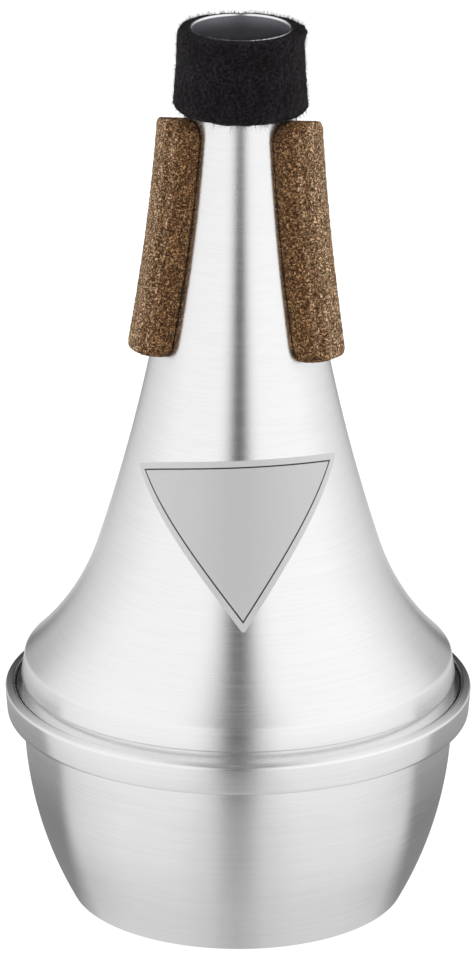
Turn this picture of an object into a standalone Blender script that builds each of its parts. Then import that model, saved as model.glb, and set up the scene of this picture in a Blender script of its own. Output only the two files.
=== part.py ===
"""Trumpet straight mute: a spun aluminium cone seated in a spun base cup, with corks, felt and a foil plate.

Metres, +Z up. The base rests on Z = 0, the axis is Z and the foil plate faces -Y.
Every turned shape is a meridian, a half outline in the XZ plane, turned about Z.
"""

import math

import bmesh
import bpy

# Overall sizes
OVERALL_HEIGHT = 0.1541
COLLAR_DIAMETER = 0.0800
SEAT_GAP = 0.0003
TURNED_STEPS = 56

# Base cup: flat base, bowed wall, shelf, and a collar with a hemmed lip
CUP_WALL = 0.0008
BASE_DIAMETER = 0.0570
BASE_EDGE_ROUND = 0.0006
SHELF_WIDTH = 0.0032
SHELF_HEIGHT = 0.0326
COLLAR_HEIGHT = 0.0051
COLLAR_TAPER = 0.0004
COLLAR_CORNER_ROUND = 0.0010
HEM_WIDTH = 0.00166
HEM_RISE = 0.0007
HEM_DEPTH = 0.0026
HEM_OUTER_ROUND = 0.0005
HEM_INNER_ROUND = 0.0002

# Cone: skirt and ledge inside the collar, band, shoulder, flare and neck
CONE_WALL = 0.0006
GROOVE_WIDTH = 0.0011
LEDGE_DEPTH = 0.0005
BAND_LIFT = 0.0010
BAND_HEIGHT = 0.0036
BAND_SLOPE = math.radians(8.0)
BAND_EDGE_ROUND = 0.0004
SHOULDER_ROUND = 0.0012
SHOULDER_SLOPE = math.radians(46.5)
FLARE_SLOPE = math.radians(18.0)
NECK_SLOPE = math.radians(1.2)
NECK_TIP_DIAMETER = 0.0174
RIM_ROUND = 0.0002

# Bead of joint adhesive on the shelf, inside the skirt
ADHESIVE_HEIGHT = 0.0015
ADHESIVE_DISH = 0.0005

# Felt strip wrapped round the tip of the neck, butted at the back
FELT_HEIGHT = 0.0142
FELT_THICKNESS = 0.0018
FELT_EDGE_ROUND = 0.0007
FELT_SEAM = 0.0004
FELT_STEPS = 48

# Cork strips bent round the neck below the felt
CORK_COUNT = 3
CORK_LENGTH = 0.0408
CORK_WIDTH = 0.0084
CORK_THICKNESS = 0.0042
CORK_FRONT_ROUND = 0.0034
CORK_BACK_ROUND = 0.0010
CORK_EDGE_ROUND = 0.0004
CORK_BELOW_FELT = 0.0004
CORK_TURN = math.radians(-3.6)
CORK_ACROSS = 4

# Foil plate: an inverted triangle wrapped on the front of the cone
PLATE_FROM_TIP = 0.0707
PLATE_WIDTH = 0.0400
PLATE_HEIGHT = 0.0290
PLATE_THICKNESS = 0.0002
PLATE_TILT = math.radians(2.6)
PLATE_TIP_SHARE = 0.03
PLATE_ACROSS = 8

# Colours and finishes: name, colour, metallic, roughness
FINISHES = {
    "spun_aluminium": ((0.80, 0.80, 0.81), 1.0, 0.22),
    "cork": ((0.22, 0.15, 0.09), 0.0, 0.85),
    "black_felt": ((0.012, 0.011, 0.012), 0.0, 0.95),
    "foil": ((0.72, 0.72, 0.73), 1.0, 0.35),
    "dark_adhesive": ((0.03, 0.03, 0.03), 0.0, 0.60),
}

BACK = math.pi / 2
FRONT = -math.pi / 2
SHARP_ANGLE = math.radians(35.0)
MERGE = 0.0001

# Radii and heights that follow from the sizes above
COLLAR_RADIUS = COLLAR_DIAMETER / 2
BASE_RADIUS = BASE_DIAMETER / 2
CUP_MOUTH_RADIUS = COLLAR_RADIUS - SHELF_WIDTH
NECK_TIP_RADIUS = NECK_TIP_DIAMETER / 2
SHELF_TOP = SHELF_HEIGHT + CUP_WALL
HEM_OUTER_TOP = SHELF_HEIGHT + COLLAR_HEIGHT
HEM_TOP = HEM_OUTER_TOP + HEM_RISE
HEM_INNER_RADIUS = COLLAR_RADIUS - HEM_WIDTH
COLLAR_FOOT_RADIUS = COLLAR_RADIUS - COLLAR_TAPER
BAND_RADIUS = HEM_INNER_RADIUS - GROOVE_WIDTH
BAND_FOOT = HEM_TOP + BAND_LIFT
RECESS_RADIUS = BAND_RADIUS - BAND_EDGE_ROUND
LEDGE_HEIGHT = HEM_TOP - LEDGE_DEPTH
SKIRT_RADIUS = HEM_INNER_RADIUS - SEAT_GAP


def clear_scene():
    for item in list(bpy.data.objects):
        bpy.data.objects.remove(item, do_unlink=True)


def make_material(name):
    """A Principled material of the named finish."""
    colour, metallic, roughness = FINISHES[name]
    material = bpy.data.materials.get(name) or bpy.data.materials.new(name)
    material.use_nodes = True
    shader = material.node_tree.nodes["Principled BSDF"]
    shader.inputs["Base Color"].default_value = (*colour, 1.0)
    shader.inputs["Metallic"].default_value = metallic
    shader.inputs["Roughness"].default_value = roughness
    material.diffuse_color = (*colour, 1.0)
    return material


def arc(centre, radius, start, end, steps):
    """Points on an arc in the XZ plane, angles from +X, both ends included."""
    points = []
    for i in range(steps + 1):
        angle = start + (end - start) * i / steps
        points.append((centre[0] + radius * math.cos(angle), centre[1] + radius * math.sin(angle)))
    return points


def fillet(before, corner, after, radius, steps=3):
    """A round of the given radius at a corner between two straight runs, limited by the shorter run."""
    to_before = (before[0] - corner[0], before[1] - corner[1])
    to_after = (after[0] - corner[0], after[1] - corner[1])
    length_before = math.hypot(*to_before)
    length_after = math.hypot(*to_after)
    unit_before = (to_before[0] / length_before, to_before[1] / length_before)
    unit_after = (to_after[0] / length_after, to_after[1] / length_after)
    cosine = unit_before[0] * unit_after[0] + unit_before[1] * unit_after[1]
    half = math.acos(max(-1.0, min(1.0, cosine))) / 2
    run = min(radius / math.tan(half), 0.45 * length_before, 0.45 * length_after)
    radius = run * math.tan(half)
    middle = (unit_before[0] + unit_after[0], unit_before[1] + unit_after[1])
    reach = radius / math.sin(half) / math.hypot(*middle)
    centre = (corner[0] + middle[0] * reach, corner[1] + middle[1] * reach)
    first = (corner[0] + unit_before[0] * run, corner[1] + unit_before[1] * run)
    last = (corner[0] + unit_after[0] * run, corner[1] + unit_after[1] * run)
    start = math.atan2(first[1] - centre[1], first[0] - centre[0])
    turn = math.atan2(last[1] - centre[1], last[0] - centre[0]) - start
    turn = (turn + math.pi) % (2 * math.pi) - math.pi
    return arc(centre, radius, start, start + turn, steps)


def rounded(outline, rounds, closed):
    """The outline with a fillet at each corner whose index is in rounds."""
    points = []
    count = len(outline)
    for i, corner in enumerate(outline):
        inner = closed or 0 < i < count - 1
        if i in rounds and inner:
            points += fillet(outline[i - 1], corner, outline[(i + 1) % count], rounds[i])
        else:
            points.append(corner)
    return points


def cone_arcs():
    """Radii of the long neck arc and the tighter flare arc.

    Both bow outwards and meet at FLARE_SLOPE. They span the rise and the spread from the shoulder to
    the tip, so they follow when the height or either diameter changes.
    """
    foot_radius, foot_height = shoulder_top()
    spread = foot_radius - NECK_TIP_RADIUS
    rise = OVERALL_HEIGHT - foot_height
    neck_cos = math.cos(NECK_SLOPE) - math.cos(FLARE_SLOPE)
    neck_sin = math.sin(FLARE_SLOPE) - math.sin(NECK_SLOPE)
    flare_cos = math.cos(FLARE_SLOPE) - math.cos(SHOULDER_SLOPE)
    flare_sin = math.sin(SHOULDER_SLOPE) - math.sin(FLARE_SLOPE)
    both = neck_cos * flare_sin - flare_cos * neck_sin
    neck = (spread * flare_sin - flare_cos * rise) / both
    flare = (neck_cos * rise - neck_sin * spread) / both
    return neck, flare


def band_top():
    """Radius and height of the top of the band, just below the shoulder."""
    return BAND_RADIUS - BAND_HEIGHT * math.tan(BAND_SLOPE), BAND_FOOT + BAND_HEIGHT


def shoulder_top():
    """Radius and height where the shoulder's round meets the flare."""
    radius, height = band_top()
    inwards = SHOULDER_ROUND * (math.cos(BAND_SLOPE) - math.cos(SHOULDER_SLOPE))
    upwards = SHOULDER_ROUND * (math.sin(SHOULDER_SLOPE) - math.sin(BAND_SLOPE))
    return radius - inwards, height + upwards


def on_meridian(distance):
    """Radius, height and slope of the cone's outer surface, that far down its meridian from the rim."""
    neck, flare = cone_arcs()
    neck_length = neck * (FLARE_SLOPE - NECK_SLOPE)
    if distance <= neck_length:
        slope = NECK_SLOPE + distance / neck
        radius = NECK_TIP_RADIUS + neck * (math.cos(NECK_SLOPE) - math.cos(slope))
        height = OVERALL_HEIGHT - neck * (math.sin(slope) - math.sin(NECK_SLOPE))
        return radius, height, slope
    joint_radius, joint_height, _ = on_meridian(neck_length)
    slope = FLARE_SLOPE + (distance - neck_length) / flare
    radius = joint_radius + flare * (math.cos(FLARE_SLOPE) - math.cos(slope))
    height = joint_height - flare * (math.sin(slope) - math.sin(FLARE_SLOPE))
    return radius, height, slope


def off_cone(distance, azimuth, stand_off):
    """A point in space, stand_off outside the cone's surface along its normal."""
    radius, height, slope = on_meridian(distance)
    radius += stand_off * math.cos(slope)
    height += stand_off * math.sin(slope)
    return radius * math.cos(azimuth), radius * math.sin(azimuth), height


def cone_meridian(neck_steps=11, flare_steps=9, shoulder_steps=3):
    """(radius, height, slope) down the outer surface, from the rim to the top of the band."""
    neck, flare = cone_arcs()
    neck_length = neck * (FLARE_SLOPE - NECK_SLOPE)
    flare_length = flare * (SHOULDER_SLOPE - FLARE_SLOPE)
    points = [on_meridian(neck_length * i / neck_steps) for i in range(neck_steps)]
    points += [on_meridian(neck_length + flare_length * i / flare_steps) for i in range(flare_steps + 1)]
    radius, height, _ = points[-1]
    for i in range(1, shoulder_steps + 1):
        slope = SHOULDER_SLOPE + (BAND_SLOPE - SHOULDER_SLOPE) * i / shoulder_steps
        outwards = SHOULDER_ROUND * (math.cos(slope) - math.cos(SHOULDER_SLOPE))
        downwards = SHOULDER_ROUND * (math.sin(SHOULDER_SLOPE) - math.sin(slope))
        points.append((radius + outwards, height - downwards, slope))
    return points


def cone_outline():
    """Closed meridian of the cone shell: down its outer side, round the stepped skirt, up its inner side."""
    meridian = cone_meridian()
    outer = [(radius, height) for radius, height, _ in meridian]
    inner = [
        (radius - CONE_WALL * math.cos(slope), height - CONE_WALL * math.sin(slope))
        for radius, height, slope in meridian
    ]
    inner[0] = (NECK_TIP_RADIUS - CONE_WALL, OVERALL_HEIGHT)
    edge = arc((RECESS_RADIUS, BAND_FOOT + BAND_EDGE_ROUND), BAND_EDGE_ROUND, 0.0, FRONT, 3)
    skirt_foot = SHELF_TOP + SEAT_GAP
    skirt_inner = SKIRT_RADIUS - CONE_WALL
    recess_inner = RECESS_RADIUS - CONE_WALL
    skirt = [
        (RECESS_RADIUS, LEDGE_HEIGHT),
        (SKIRT_RADIUS, LEDGE_HEIGHT),
        (SKIRT_RADIUS, skirt_foot),
        (skirt_inner, skirt_foot),
        (skirt_inner, LEDGE_HEIGHT - CONE_WALL),
        (recess_inner, LEDGE_HEIGHT - CONE_WALL),
        (recess_inner, BAND_FOOT),
    ]
    outline = outer + edge + skirt + inner[::-1]
    return rounded(outline, {0: RIM_ROUND, len(outline) - 1: RIM_ROUND}, closed=True)


def cup_wall_arc(inset, steps=8):
    """Points up the bowed cup wall, from the base edge to the mouth, that far inside its outer surface."""
    spread = CUP_MOUTH_RADIUS - BASE_RADIUS
    bow = (spread ** 2 + SHELF_HEIGHT ** 2) / (2 * spread)
    centre = (CUP_MOUTH_RADIUS - bow, SHELF_HEIGHT)
    radius = bow - inset
    return arc(centre, radius, -math.asin((SHELF_HEIGHT - inset) / radius), 0.0, steps)


def cup_outline():
    """Open meridian of the base cup: from the axis up the inside, over the hem and down the outside."""
    inside = cup_wall_arc(CUP_WALL)
    outside = cup_wall_arc(0.0)[::-1]
    collar_inner = COLLAR_FOOT_RADIUS - CUP_WALL
    hem_foot = HEM_TOP - HEM_DEPTH
    top = [
        (collar_inner, SHELF_TOP),
        (collar_inner, hem_foot),
        (HEM_INNER_RADIUS, hem_foot),
        (HEM_INNER_RADIUS, HEM_TOP),
        (COLLAR_RADIUS, HEM_OUTER_TOP),
        (COLLAR_FOOT_RADIUS, SHELF_HEIGHT),
    ]
    outline = [(0.0, CUP_WALL)] + inside + [(CUP_MOUTH_RADIUS - CUP_WALL, SHELF_TOP)] + top
    first_top = len(outline) - len(top)
    outline += outside + [(0.0, 0.0)]
    rounds = {
        first_top + 3: HEM_INNER_ROUND,
        first_top + 4: HEM_OUTER_ROUND,
        first_top + 5: COLLAR_CORNER_ROUND,
        len(outline) - 2: BASE_EDGE_ROUND,
    }
    return rounded(outline, rounds, closed=False)


def adhesive_outline():
    """Closed meridian of the bead on the shelf, from its inner edge to the skirt, with a dished top."""
    inner = CUP_MOUTH_RADIUS - CUP_WALL + SEAT_GAP
    outer = SKIRT_RADIUS - CONE_WALL - SEAT_GAP
    foot = SHELF_TOP + SEAT_GAP
    top = foot + ADHESIVE_HEIGHT
    middle = (inner + outer) / 2
    return [(inner, top), (middle, top - ADHESIVE_DISH), (outer, top), (outer, foot), (inner, foot)]


def felt_outline(steps=3):
    """Closed meridian of the felt strip, SEAT_GAP outside the neck, with rounded outer edges."""
    inner = []
    outer = []
    for i in range(steps + 1):
        radius, height, slope = on_meridian(FELT_HEIGHT * i / steps)
        inner.append((radius + SEAT_GAP * math.cos(slope), height + SEAT_GAP * math.sin(slope)))
        reach = SEAT_GAP + FELT_THICKNESS
        outer.append((radius + reach * math.cos(slope), height + reach * math.sin(slope)))
    top = OVERALL_HEIGHT - RIM_ROUND
    inner[0] = (inner[0][0], top)
    outer[0] = (outer[0][0], top)
    outline = outer + inner[::-1]
    return rounded(outline, {0: FELT_EDGE_ROUND, steps: FELT_EDGE_ROUND}, closed=True)


def finish_object(mesh, name, finish):
    """Put the mesh in the scene as a smooth-shaded object with its material."""
    mesh.shade_smooth()
    mesh.set_sharp_from_angle(angle=SHARP_ANGLE)
    mesh.materials.append(make_material(finish))
    item = bpy.data.objects.new(name, mesh)
    bpy.context.scene.collection.objects.link(item)
    return item


def turned(name, outline, closed, finish):
    """A meridian turned about Z by a Screw modifier."""
    count = len(outline)
    edges = [(i, i + 1) for i in range(count - 1)]
    if closed:
        edges.append((count - 1, 0))
    mesh = bpy.data.meshes.new(name)
    mesh.from_pydata([(x, 0.0, z) for x, z in outline], edges, [])
    item = bpy.data.objects.new(name, mesh)
    bpy.context.scene.collection.objects.link(item)
    mesh.materials.append(make_material(finish))
    screw = item.modifiers.new("Turn", "SCREW")
    screw.steps = TURNED_STEPS
    screw.render_steps = TURNED_STEPS
    screw.use_merge_vertices = True
    screw.merge_threshold = MERGE
    screw.use_smooth_shade = True
    return item


def build_felt():
    """The felt outline swept round the neck from one side of the butt seam to the other."""
    outer_radius = NECK_TIP_RADIUS + SEAT_GAP + FELT_THICKNESS
    half_seam = FELT_SEAM / 2 / outer_radius
    start = BACK + half_seam
    shape = bmesh.new()
    vertices = [
        shape.verts.new((x * math.cos(start), x * math.sin(start), z)) for x, z in felt_outline()
    ]
    face = shape.faces.new(vertices)
    bmesh.ops.spin(
        shape,
        geom=[*vertices, *face.edges, face],
        cent=(0.0, 0.0, 0.0),
        axis=(0.0, 0.0, 1.0),
        angle=2 * (math.pi - half_seam),
        steps=FELT_STEPS,
    )
    bmesh.ops.recalc_face_normals(shape, faces=shape.faces)
    mesh = bpy.data.meshes.new("felt_ring")
    shape.to_mesh(mesh)
    shape.free()
    return finish_object(mesh, "felt_ring", "black_felt")


def bent_strip(name, rows, layers, across, place, finish):
    """A closed strip bent on the cone.

    rows holds (along, left, right) for each station, layers holds (inset, stand_off) from the cone
    outwards, and place turns (sideways, along, stand_off) into a point in space.
    """
    middle_along = (rows[0][0] + rows[-1][0]) / 2
    half_along = abs(rows[-1][0] - rows[0][0]) / 2
    shape = bmesh.new()
    grids = []
    for inset, stand_off in layers:
        shrink = 1 - inset / half_along
        grid = []
        for along, left, right in rows:
            width = right - left
            share = min(inset / width, 0.4)
            first = left + width * share
            last = right - width * share
            spot = middle_along + (along - middle_along) * shrink
            line = [first + (last - first) * i / across for i in range(across + 1)]
            grid.append([shape.verts.new(place(sideways, spot, stand_off)) for sideways in line])
        grids.append(grid)
    for grid in (grids[0], grids[-1]):
        for upper, lower in zip(grid, grid[1:]):
            for i in range(across):
                shape.faces.new((upper[i], upper[i + 1], lower[i + 1], lower[i]))
    for under, over in zip(grids, grids[1:]):
        under_loop = border(under)
        over_loop = border(over)
        for i in range(len(under_loop)):
            j = (i + 1) % len(under_loop)
            shape.faces.new((under_loop[i], under_loop[j], over_loop[j], over_loop[i]))
    bmesh.ops.recalc_face_normals(shape, faces=shape.faces)
    mesh = bpy.data.meshes.new(name)
    shape.to_mesh(mesh)
    shape.free()
    return finish_object(mesh, name, finish)


def border(grid):
    """The grid's outer vertices in order, once round."""
    right = [line[-1] for line in grid[1:-1]]
    left = [line[0] for line in grid[1:-1]]
    return grid[0] + right + grid[-1][::-1] + left[::-1]


def corner_inset(from_end, radius):
    """How far a rounded corner draws in, that far from the strip's end."""
    reach = max(radius - from_end, 0.0)
    return radius - math.sqrt(radius ** 2 - reach ** 2)


def cork_rows(left_round, right_round, corner_steps=5, straight_steps=5):
    """Stations down a cork strip whose corners are rounded, each side with its own radius."""
    largest = max(left_round, right_round)
    top = FELT_HEIGHT + CORK_BELOW_FELT
    corner = [largest * (1 - math.cos(BACK * i / corner_steps)) for i in range(corner_steps + 1)]
    straight = CORK_LENGTH - 2 * largest
    stations = corner + [largest + straight * i / straight_steps for i in range(1, straight_steps)]
    stations += [CORK_LENGTH - along for along in corner[::-1]]
    rows = []
    for along in stations:
        from_end = min(along, CORK_LENGTH - along)
        left = corner_inset(from_end, left_round) - CORK_WIDTH / 2
        right = CORK_WIDTH / 2 - corner_inset(from_end, right_round)
        rows.append((top + along, left, right))
    return rows


def build_corks():
    """Strips at even spacing, one hidden at the back, all turned a little from square."""
    names = ["cork_strip_back", "cork_strip_left", "cork_strip_right"]
    small = min(CORK_BACK_ROUND, CORK_WIDTH / 2)
    large = min(CORK_FRONT_ROUND, CORK_WIDTH / 2)
    rounds = [(small, large), (small, large), (large, small)]
    layers = [
        (0.0, SEAT_GAP),
        (0.0, SEAT_GAP + CORK_THICKNESS - CORK_EDGE_ROUND),
        (CORK_EDGE_ROUND, SEAT_GAP + CORK_THICKNESS),
    ]
    for i in range(CORK_COUNT):
        middle = BACK + CORK_TURN + 2 * math.pi * i / CORK_COUNT

        def place(sideways, along, stand_off, middle=middle):
            radius, _, _ = on_meridian(along)
            return off_cone(along, middle + sideways / radius, stand_off)

        name = names[i] if i < len(names) else f"cork_strip_{i + 1}"
        bent_strip(name, cork_rows(*rounds[i % len(rounds)]), layers, CORK_ACROSS, place, "cork")


def build_plate(rows=10):
    """The foil triangle, flat when cut: a straight edge bows as it wraps on the cone."""
    layers = [(0.0, SEAT_GAP), (0.0, SEAT_GAP + PLATE_THICKNESS)]
    stations = []
    for i in range(rows + 1):
        down = PLATE_HEIGHT * i / rows
        half = PLATE_WIDTH / 2 * max(1 - i / rows, PLATE_TIP_SHARE)
        stations.append((down, -half, half))
    pivot = PLATE_HEIGHT / 3
    cosine = math.cos(PLATE_TILT)
    sine = math.sin(PLATE_TILT)

    def place(sideways, down, stand_off):
        across = sideways * cosine + (down - pivot) * sine
        along = PLATE_FROM_TIP + pivot - sideways * sine + (down - pivot) * cosine
        radius, _, slope = on_meridian(along)
        along += across ** 2 * math.sin(slope) / (2 * radius)
        radius, _, _ = on_meridian(along)
        return off_cone(along, FRONT + across / radius, stand_off)

    bent_strip("label_plate", stations, layers, PLATE_ACROSS, place, "foil")


def main():
    clear_scene()
    turned("cone_shell", cone_outline(), True, "spun_aluminium")
    turned("base_cup", cup_outline(), False, "spun_aluminium")
    turned("joint_adhesive", adhesive_outline(), True, "dark_adhesive")
    build_felt()
    build_corks()
    build_plate()


main()
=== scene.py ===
"""Looks of a trumpet straight mute: spun shells, cork strips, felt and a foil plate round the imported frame.

Metres, +Z up. The base rests on Z = 0, the axis is Z and the foil plate faces -Y.
"""

import math
import random

import bpy
from mathutils import Matrix, Vector


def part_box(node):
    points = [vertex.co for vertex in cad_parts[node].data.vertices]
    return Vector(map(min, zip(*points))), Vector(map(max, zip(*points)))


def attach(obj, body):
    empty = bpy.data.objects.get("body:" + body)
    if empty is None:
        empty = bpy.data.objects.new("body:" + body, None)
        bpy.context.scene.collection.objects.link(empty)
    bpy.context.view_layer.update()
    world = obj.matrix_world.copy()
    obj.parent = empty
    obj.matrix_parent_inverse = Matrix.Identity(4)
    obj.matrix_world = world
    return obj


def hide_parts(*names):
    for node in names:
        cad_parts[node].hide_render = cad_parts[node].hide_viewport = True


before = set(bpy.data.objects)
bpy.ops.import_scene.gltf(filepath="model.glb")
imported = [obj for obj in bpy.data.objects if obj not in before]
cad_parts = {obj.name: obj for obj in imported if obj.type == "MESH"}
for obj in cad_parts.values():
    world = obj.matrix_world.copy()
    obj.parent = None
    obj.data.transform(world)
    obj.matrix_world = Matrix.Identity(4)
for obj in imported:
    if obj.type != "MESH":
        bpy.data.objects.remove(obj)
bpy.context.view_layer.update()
CONE_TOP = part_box("cone_shell")[1].z

bl_info = {
    "name": "Straight mute",
    "version": (1, 0, 0),
    "blender": (4, 5, 0),
    "location": "3D View > Sidebar > Mute",
    "description": "Models and finishes the pieces of a trumpet straight mute",
    "category": "Object",
}

BODY = "root"
BACK = math.pi / 2
FRONT = -math.pi / 2
FULL_TURN = 2 * math.pi
MERGE = 1e-6
SPIN_STEPS = 288
SHARP_ANGLE = math.radians(40.0)


def length(name, description, default):
    return bpy.props.FloatProperty(
        name=name, description=description, unit="LENGTH", precision=5, default=default)


def angle(name, description, degrees):
    return bpy.props.FloatProperty(
        name=name, description=description, subtype="ANGLE", default=math.radians(degrees))


def colour(name, description, default):
    return bpy.props.FloatVectorProperty(
        name=name, description=description, subtype="COLOR", default=default)


class MuteSizes(bpy.types.PropertyGroup):
    """Real sizes of the mute's pieces"""

    height: length("Height", "Base to the neck's rim", CONE_TOP)
    collar_radius: length("Collar radius", "Axis to the lip's outer edge", 0.0400)
    cup_wall: length("Cup wall", "Thickness of the spun cup", 0.0008)
    base_radius: length("Base radius", "Axis to the base's edge", 0.0285)
    base_edge_round: length("Base edge round", "Round of the base's edge", 0.0006)
    shelf_width: length("Shelf width", "Collar's outer edge in to the cup wall", 0.0032)
    shelf_height: length("Shelf height", "Base to the underside of the shelf", 0.0326)
    collar_height: length("Collar height", "Shelf to the lip's outer edge", 0.0051)
    collar_taper: length("Collar taper", "How far the collar draws in at its foot", 0.0004)
    collar_corner_round: length("Collar corner round", "Round of the collar's foot", 0.0010)
    hem_width: length("Hem width", "Width of the folded lip", 0.00166)
    hem_rise: length("Hem rise", "How far the lip climbs inwards", 0.0007)
    hem_depth: length("Hem depth", "Depth of the folded lip inside", 0.0026)
    hem_outer_round: length("Hem outer round", "Round of the lip's outer edge", 0.0005)
    hem_inner_round: length("Hem inner round", "Round of the lip's inner edge", 0.00035)
    cone_wall: length("Cone wall", "Thickness of the spun cone", 0.0006)
    groove_width: length("Groove width", "Lip to the cone's band", 0.0011)
    ledge_depth: length("Ledge depth", "Lip down to the ledge in the groove", 0.0005)
    band_lift: length("Band lift", "Lip to the band's lower edge", 0.0010)
    band_height: length("Band height", "Height of the band under the shoulder", 0.0036)
    band_edge_round: length("Band edge round", "Round of the band's lower edge", 0.0004)
    band_slope: angle("Band slope", "Lean of the band", 8.0)
    shoulder_round: length("Shoulder round", "Round of the shoulder", 0.0012)
    shoulder_slope: angle("Shoulder slope", "Lean of the flare at the shoulder", 46.5)
    flare_slope: angle("Flare slope", "Lean where the neck and the flare meet", 18.0)
    neck_slope: angle("Neck slope", "Lean of the neck at its rim", 1.2)
    neck_tip_radius: length("Neck tip radius", "Axis to the rim's outer edge", 0.0087)
    rim_round: length("Rim round", "Round of the neck's rim", 0.00027)
    rim_chamfer: length("Rim chamfer", "Height of the burnished chamfer inside the rim", 0.00032)
    rim_lean: angle("Rim lean", "Lean of the chamfer inside the rim", 27.0)
    seat_gap: length("Seat gap", "Clearance that the frame keeps between seated pieces", 0.0003)
    glue_film: length("Glue film", "Clearance that shows under a glued piece", 0.00004)
    felt_height: length("Felt height", "Width of the felt strip", 0.0142)
    felt_thickness: length("Felt thickness", "Thickness of the felt strip at the rim", 0.00172)
    felt_swell: length("Felt swell", "How much thicker the felt is at its foot", 0.00020)
    felt_top_round: length("Felt top round", "Widest round of the felt's top edge", 0.0010)
    felt_foot_round: length("Felt foot round", "Round of the felt's bottom edge at the right", 0.0008)
    felt_seam: length("Felt seam", "Gap at the felt's butt seam", 0.00028)
    felt_drop: length("Felt drop", "How far the felt's top edge stays below the rim", 0.00002)
    felt_tilt: length("Felt tilt", "How far the felt's top edge drops from left to middle", 0.00012)
    felt_flare: length("Felt flare", "How far the felt's top corner stands off at the right", 0.0006)
    cork_length: length("Cork length", "Length of a cork strip", 0.0413)
    cork_width: length("Cork width", "Width of a cork strip at its glued side", 0.0080)
    cork_thickness: length("Cork thickness", "Thickness of a cork strip", 0.0042)
    cork_front_round: length("Cork front round", "Round of the top corner towards the plate", 0.0034)
    cork_foot_round: length("Cork foot round", "Round of the bottom corner towards the plate", 0.0022)
    cork_back_round: length("Cork back round", "Round of the corners away from the plate", 0.0014)
    cork_top_slope: length("Cork top slope", "How much lower a cork's top is at its back", 0.0016)
    cork_foot_slope: length("Cork foot slope", "How much lower a cork's foot is at its back", 0.0004)
    cork_edge_round: length("Cork edge round", "Round of a cork's outer edges", 0.0004)
    cork_front_turn: length("Cork front turn", "Sanded round of the outer edge towards the plate", 0.0026)
    cork_front_lean: angle("Cork front lean", "How far a cork's side towards the plate leans back", 8.0)
    cork_front_fall: length("Cork front fall", "How far a cork is sanded down towards the plate", 0.0006)
    cork_below_felt: length("Cork below felt", "Gap from the felt down to the corks", 0.0001)
    # The dark glue line is real glue, darkened to paint the contact shadow under each cork.
    glue_shadow_line: length("Glue line", "Depth of the dark glue line under a cork", 0.00026)
    glue_inset: length("Glue inset", "How far the glue line stays inside the cork's edge", 0.00025)
    cork_turn: angle("Cork turn", "Turn of the corks from square", -3.6)
    plate_from_tip: length("Plate from tip", "Rim to the plate's top edge, down the cone", 0.0707)
    plate_width: length("Plate width", "Width of the foil plate's top edge", 0.0400)
    plate_height: length("Plate height", "Top edge to the tip of the foil plate", 0.0290)
    plate_thickness: length("Plate thickness", "Thickness of the foil plate", 0.00016)
    plate_corner_round: length("Plate corner round", "Round of the foil plate's corners", 0.0007)
    plate_tilt: angle("Plate tilt", "Turn of the foil plate on the cone", 2.6)
    plate_margin: length("Plate margin", "Edge of the foil to its border line", 0.0010)
    plate_line: length("Plate line", "Width of the border line", 0.00025)


class MuteFinish(bpy.types.PropertyGroup):
    """Colours of the mute's finishes"""

    aluminium: colour("Aluminium", "Spun aluminium", (0.89, 0.89, 0.895))
    # Painted shade: the inside of the neck is coloured dark for the shade that falls in it; only its higher
    # roughness is its own duller finish.
    inside: colour("Inside", "Unpolished inside of the neck", (0.28, 0.275, 0.305))
    cork_binder: colour("Cork binder", "Dark binder between the flakes", (0.040, 0.018, 0.007))
    cork_brown: colour("Cork brown", "Most of the flakes", (0.290, 0.150, 0.066))
    cork_tan: colour("Cork tan", "The lightest flakes", (0.860, 0.570, 0.320))
    # Painted shadow: the glue line's colour is that of the contact shadow under a cork.
    cork_glue_shadow: colour("Cork glue", "Glue line under a cork", (0.020, 0.009, 0.003))
    felt: colour("Felt", "Black felt", (0.0065, 0.0055, 0.0065))
    foil: colour("Foil", "Satin foil plate", (0.78, 0.78, 0.785))
    ink: colour("Ink", "Border line on the plate", (0.02, 0.02, 0.022))
    adhesive: colour("Adhesive", "Bead in the collar", (0.03, 0.03, 0.03))
    floor: colour("Floor", "Pale floor", (0.65, 0.65, 0.65))


# Outlines in the XZ plane

def arc(centre, radius, start, end, steps):
    """Points on an arc, angles from +X, both ends included."""
    points = []
    for i in range(steps + 1):
        turn = start + (end - start) * i / steps
        points.append((centre[0] + radius * math.cos(turn), centre[1] + radius * math.sin(turn)))
    return points


def fillet(before, corner, after, radius, steps):
    """A round at a corner between two straight runs, limited by the shorter run."""
    corner = Vector(corner)
    to_before = Vector(before) - corner
    to_after = Vector(after) - corner
    half = to_before.angle(to_after) / 2
    run = min(radius / math.tan(half), 0.45 * to_before.length, 0.45 * to_after.length)
    radius = run * math.tan(half)
    middle = (to_before.normalized() + to_after.normalized()).normalized()
    centre = corner + middle * (radius / math.sin(half))
    first = corner + to_before.normalized() * run - centre
    last = corner + to_after.normalized() * run - centre
    start = math.atan2(first.y, first.x)
    turn = math.atan2(last.y, last.x) - start
    turn = (turn + math.pi) % FULL_TURN - math.pi
    return arc(centre, radius, start, start + turn, steps)


def rounded(outline, rounds, steps=6):
    """The outline with a fillet at each corner whose index is in rounds."""
    points = []
    for i, corner in enumerate(outline):
        if i in rounds:
            after = outline[(i + 1) % len(outline)]
            points += fillet(outline[i - 1], corner, after, rounds[i], steps)
        else:
            points.append(corner)
    return points


def rounded_in(from_edge, turn):
    """How far a side has drawn in, that far below the outer face, where the edge is a round."""
    reach = max(turn - from_edge, 0.0)
    return turn - math.sqrt(turn ** 2 - reach ** 2)


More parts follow.
